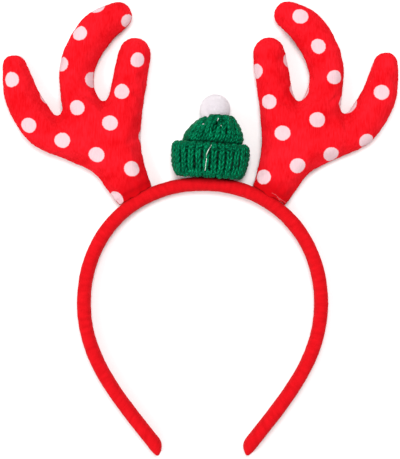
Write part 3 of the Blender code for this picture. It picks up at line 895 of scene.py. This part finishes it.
def plied_tube(path, sides, seed):
    """Closed tube of two-ply yarn along a closed path, with its UV in millimetres."""
    count = len(path)
    along = np.roll(path, -1, axis=0) - np.roll(path, 1, axis=0)
    step = np.linalg.norm(np.roll(path, -1, axis=0) - path, axis=1)
    travelled = np.concatenate([[0.0], np.cumsum(step)[:-1]])
    along /= np.maximum(np.linalg.norm(along, axis=1), 1e-9)[:, None]
    reference = np.tile((0.0, 1.0, 0.0), (count, 1))
    side = np.cross(along, reference)
    weak = np.linalg.norm(side, axis=1) < 0.25
    side[weak] = np.cross(along[weak], (0.0, 0.0, 1.0))
    # Carry the frame along the path, so that the tube doesn't spin
    frames = np.empty((count, 3))
    current = side[0] / np.linalg.norm(side[0])
    for i in range(count):
        current = current - np.dot(current, along[i]) * along[i]
        current /= np.linalg.norm(current)
        frames[i] = current
    other = np.cross(along, frames)
    angle = 2 * math.pi * np.arange(sides) / sides
    twist = 2 * math.pi * travelled / (2.6 * MM) + seed
    lobes = 1 + 0.19 * np.cos(2 * angle[None, :] - twist[:, None])
    swell = 1 + 0.05 * np.sin(travelled / (5.3 * MM) + seed)
    radius = YARN / 2 * lobes * swell[:, None]
    points = (path[:, None, :] + radius[:, :, None] * (np.cos(angle)[None, :, None] * frames[:, None, :]
                                                       + np.sin(angle)[None, :, None] * other[:, None, :]))
    first = np.arange(count)[:, None] * sides
    after = ((np.arange(count) + 1) % count)[:, None] * sides
    here = np.arange(sides)[None, :]
    beside = (here + 1) % sides
    faces = np.stack([first + here, first + beside, after + beside, after + here], axis=2).reshape(-1, 4)
    uv = np.stack([np.tile(angle, (count, 1)) + twist[:, None] / 2,
                   np.tile(travelled[:, None] / MM, (1, sides))], axis=2)
    return points.reshape(-1, 3), faces, uv.reshape(-1, 2)


def knit(name, surface, courses, splay, matrix):
    """Object of interlocked yarn rows on a surface, one closed tube a course."""
    all_points, all_faces, all_uv, painted_shade_values, offset = [], [], [], [], 0
    for number, course in enumerate(courses):
        path, lift = course_path(surface, course, WALES * STITCH_SAMPLES, splay, 1.7 * number)
        points, faces, uv = plied_tube(path, YARN_SIDES, 0.9 * number)
        painted_shade_values.append(np.repeat(lift, YARN_SIDES))
        all_points.append(points)
        all_faces.append(faces + offset)
        all_uv.append(uv)
        offset += len(points)
    points = np.concatenate(all_points)
    points = points @ np.array(matrix.to_3x3()).T + np.array(matrix.translation)
    # Cloth lies flat where it rests: what would sink below the floor is pressed up against it
    pressed = LEAST_HEIGHT + 0.25 * points[:, 2]
    points[:, 2] = np.where(points[:, 2] < FLOOR_PRESS, pressed, points[:, 2])
    points[:, 2] = np.maximum(points[:, 2], LEAST_HEIGHT)
    mesh = mesh_from(name, points, np.concatenate(all_faces))
    set_uv(mesh, "yarn", np.concatenate(all_uv)[corners_of(mesh)])
    # Painted shade, one value a point, which the yarn material reads as its depth
    store(mesh, "depth", np.concatenate(painted_shade_values))
    return add_object(name, mesh)


def backing(name, node, matrix, material, creases=(), narrow=0.0):
    """Inner face of the knitting: the node's own wall, drawn in so that the stitches cover it."""
    obj = voxel_copy(node, name, WALL_CELL)
    relax(obj, 4)
    points, normals = read_points(obj.data), read_normals(obj.data)
    points -= 1.5 * MM * normals
    turn, shift = np.array(matrix.to_3x3()), np.array(matrix.translation)
    local = (points - shift) @ turn
    foot = np.clip(1 - local[:, 1] / (5 * MM), 0, 1)
    local[:, 0] *= 1 - narrow * foot
    local[:, 2] *= 1 - narrow * foot
    for start, end, depth, width in creases:
        gap = from_segment(local[:, :2], np.array(start), np.array(end))
        front = np.clip(local[:, 2] / (2 * MM), 0, 1)
        local[:, 2] -= 1.3 * max(depth, 0) * front * bell(gap, 1.5 * width)
    points = local @ turn.T + shift
    points[:, 2] = np.maximum(points[:, 2], 0.05 * MM)
    write_points(obj.data, points)
    set_uv(obj.data, "yarn", (points[:, :2] / MM)[corners_of(obj.data)])
    dress(obj, material)
    return obj


def build_crown(matrix, yarn, inner):
    rows = smooth_rows(CROWN_ROWS, 6)
    half = CROWN_WIDTH / 2
    scale = np.array((CROWN_HEIGHT, half, half, half, half, YARN))
    to_local = matrix.inverted()
    creases = []
    for start, end, depth, width in CROWN_CREASES:
        ends = [tuple((to_local @ place(*spot, CROWN_TOP)).xy) for spot in (start, end)]
        creases.append((*ends, depth * MM, width * MM))
    surface = KnitSurface(rows * scale, creases=creases)
    obj = knit("beanie_crown_knit", surface, course_places(surface), CROWN_SPLAY, matrix)
    obj.data.materials.append(yarn)
    wall = backing("beanie_crown_wall", "beanie_crown", matrix, inner, creases=creases)
    for piece in (obj, wall):
        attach(piece, "root")
    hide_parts("beanie_crown")
    return obj


def build_cuff(matrix, yarn, inner):
    rows = smooth_rows(CUFF_ROWS, 6)
    half = CUFF_WIDTH / 2
    full = np.stack([rows[:, 0] * CUFF_HEIGHT, rows[:, 1] * half, np.full(len(rows), CUFF_SIDEWAYS),
                     rows[:, 2] * half, rows[:, 3] * half, np.zeros(len(rows))], axis=1)
    surface = KnitSurface(full, drape=CUFF_DRAPE)
    obj = knit("beanie_cuff_knit", surface, course_places(surface), CUFF_SPLAY, matrix)
    obj.data.materials.append(yarn)
    wall = backing("beanie_cuff_wall", "beanie_cuff", matrix, inner, narrow=0.07)
    for piece in (obj, wall):
        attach(piece, "root")
    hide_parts("beanie_cuff")
    return obj


def build_threads(name, runs, thickness, cloths, material):
    """Loose thread that lies on cloth and dips between its strands."""
    trees = []
    for cloth in cloths:
        bm = bmesh.new()
        bm.from_mesh(cloth.data)
        trees.append(BVHTree.FromBMesh(bm))
        bm.free()
    points, faces = [], []
    for run in runs:
        line = smooth_rows([(*spot, 0.0) for spot in run], 5)
        for k, (px, py, _) in enumerate(line):
            height = SEAM_HEIGHT
            for _ in range(2):
                above = place(px, py, height)
                above.z = 50 * MM
                hits = [tree.ray_cast(above, Vector((0, 0, -1)))[0] for tree in trees]
                height = max([hit.z for hit in hits if hit] or [SEAM_HEIGHT])
            line[k] = place(px, py, height)
        heights = np.convolve(np.pad(line[:, 2], 2, "edge"), np.ones(5) / 5, "valid")
        line[:, 2] = 0.7 * heights + 0.3 * line[:, 2] + 0.02 * MM
        heading = np.gradient(line, axis=0)
        heading /= np.linalg.norm(heading, axis=1)[:, None]
        side = np.cross(heading, (0.0, 0.0, 1.0))
        side /= np.linalg.norm(side, axis=1)[:, None]
        up = np.cross(side, heading)
        first = len(points)
        for k, point in enumerate(line):
            taper = thickness / 2 * (0.55 if k in (0, len(line) - 1) else 1.0)
            taper *= 1 + 0.15 * math.sin(2.1 * k)
            for corner in range(6):
                angle = math.pi * corner / 3
                points.append(point + taper * (math.cos(angle) * side[k] + math.sin(angle) * up[k]))
        for k in range(len(line) - 1):
            for corner in range(6):
                here, after = first + 6 * k + corner, first + 6 * k + (corner + 1) % 6
                faces.append((here, after, after + 6, here + 6))
        faces.append(tuple(range(first + 5, first - 1, -1)))
        faces.append(tuple(range(len(points) - 6, len(points))))
    obj = add_object(name, mesh_from(name, points, faces))
    obj.data.materials.append(material)
    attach(obj, "root")


def build_pompom(material):
    """A ball of cut pile: thousands of tapering strands that lean a little out of true."""
    low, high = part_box("pompom")
    centre = (low + high) / 2 + Vector((-0.3, 0.3, 0.0)) * MM
    radius = (high.x - low.x) / 2
    rng = np.random.default_rng(11)
    count = POMPOM_STRANDS
    turn = math.pi * (3 - math.sqrt(5)) * np.arange(count)
    z = 1 - 2 * (np.arange(count) + 0.5) / count
    ring = np.sqrt(1 - z * z)
    axis = np.stack([ring * np.cos(turn), ring * np.sin(turn), z], axis=1)
    lean = axis + 0.28 * rng.normal(size=(count, 3))
    lean /= np.linalg.norm(lean, axis=1)[:, None]
    tip_radius = radius * (0.97 + 0.045 * rng.random(count))
    root = axis * radius * 0.62
    tip = axis * 0.45 * radius + lean * radius * 0.52
    tip *= (tip_radius / np.linalg.norm(tip, axis=1))[:, None]
    middle = 0.45 * root + 0.55 * tip + 0.02 * radius * rng.normal(size=(count, 3))
    side = np.cross(axis, rng.normal(size=(count, 3)))
    side /= np.linalg.norm(side, axis=1)[:, None]
    other = np.cross(axis, side)
    points = []
    for level, share in ((root, 1.0), (middle, 1.0), (tip, 0.35)):
        for k in range(3):
            angle = 2 * math.pi * k / 3
            points.append(level + share * STRAND_WIDTH * (math.cos(angle) * side + math.sin(angle) * other))
    points = np.stack(points, axis=1).reshape(-1, 3)
    first = 9 * np.arange(count)[:, None]
    quads = []
    for level in (0, 3):
        for k in range(3):
            n = (k + 1) % 3
            quads.append(first + np.array([[level + k, level + n, level + 3 + n, level + 3 + k]]))
    faces = [tuple(f) for f in np.concatenate(quads)]
    faces += [tuple(f) for f in first + np.array([[6, 7, 8]])]
    points += np.array(centre)
    points[:, 2] = np.maximum(points[:, 2], LEAST_HEIGHT)
    mesh = mesh_from("pompom_pile", points, faces)
    mesh.materials.append(material)
    obj = add_object("pompom_pile", mesh)

    bpy.ops.mesh.primitive_ico_sphere_add(subdivisions=5, radius=radius * 0.86, location=centre)
    core = bpy.context.object
    core.name = core.data.name = "pompom_core"
    core.data.transform(Matrix.Translation(core.location))
    core.location = (0, 0, 0)
    core_points, core_normals = read_points(core.data), read_normals(core.data)
    lumps = smooth_noise(core_points, 1.6 * MM, 2.0)
    core_points += (0.35 * MM * lumps)[:, None] * core_normals
    write_points(core.data, core_points)
    core.data.materials.append(material)
    core.data.shade_smooth()
    for piece in (obj, core):
        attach(piece, "root")
    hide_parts("pompom")


# Stage

def build_floor():
    bpy.ops.mesh.primitive_plane_add(size=6, location=(0, 0, 0))
    floor = bpy.context.object
    floor.name = "floor"
    floor.data.materials.append(pale_floor())


def soft_light(name, location, target, size, power):
    data = bpy.data.lights.new(name, "AREA")
    data.shape = "DISK"
    data.size = size
    data.energy = power
    light = bpy.data.objects.new(name, data)
    light.location = location
    light.rotation_euler = (Vector(target) - Vector(location)).to_track_quat("-Z", "Y").to_euler()
    bpy.context.scene.collection.objects.link(light)


def build_lights():
    world = bpy.context.scene.world or bpy.data.worlds.new("studio")
    bpy.context.scene.world = world
    world.use_nodes = True
    background = world.node_tree.nodes["Background"]
    background.inputs["Color"].default_value = (1.0, 1.0, 1.0, 1.0)
    background.inputs["Strength"].default_value = 0.70
    soft_light("key", (-1.5, -0.5, 1.6), (0, 0, 0), 0.9, 25.0)
    soft_light("top", (0.12, 0.5, 1.75), (0, 0, 0), 0.8, 26.0)


def build_camera():
    centre = place(PICTURE[0] / 2, PICTURE[1] / 2)
    data = bpy.data.cameras.new("camera")
    data.sensor_fit = "HORIZONTAL"
    data.sensor_width = 36.0
    data.lens = 36.0 * CAMERA_RISE / (PICTURE[0] * PIXEL)
    camera = bpy.data.objects.new("camera", data)
    camera.location = centre + Vector((0, 0, CAMERA_RISE))
    bpy.context.scene.collection.objects.link(camera)
    bpy.context.scene.camera = camera


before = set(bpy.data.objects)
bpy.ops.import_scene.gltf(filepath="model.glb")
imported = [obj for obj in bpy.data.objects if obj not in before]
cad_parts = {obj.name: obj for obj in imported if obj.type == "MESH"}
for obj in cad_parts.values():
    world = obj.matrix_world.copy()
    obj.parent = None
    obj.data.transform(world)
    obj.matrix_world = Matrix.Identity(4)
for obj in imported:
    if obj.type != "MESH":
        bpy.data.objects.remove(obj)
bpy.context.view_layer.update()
bpy.context.scene.view_settings.view_transform = "Standard"
build_camera()
build_lights()
build_floor()

plush = printed_plush()
build_antler("antler_left", "antler_left_plush", (135, 196), math.radians(-32), LEFT_WEBS,
             LEFT_PRINT, LEFT_DOTS, LEFT_HIDDEN, plush)
right_antler = build_antler("antler_right", "antler_right_plush", (270.5, 195.5), math.radians(32),
                            RIGHT_WEBS, RIGHT_PRINT, RIGHT_DOTS, RIGHT_HIDDEN, plush)
band = build_headband(band_velour())
upright = beanie_frame()
green_yarn, painted_shade_yarn = acrylic_yarn(), knit_shadow()
crown = build_crown(upright, green_yarn, painted_shade_yarn)
cuff = build_cuff(upright, green_yarn, painted_shade_yarn)
build_threads("tacking_threads", TACKING_RUNS, 0.36 * MM, (crown, cuff), white_thread())
build_threads("frayed_base_threads", FRAYED_RUNS, 0.26 * MM, (right_antler, band),
              frayed_fibre())
build_pompom(cut_pile())
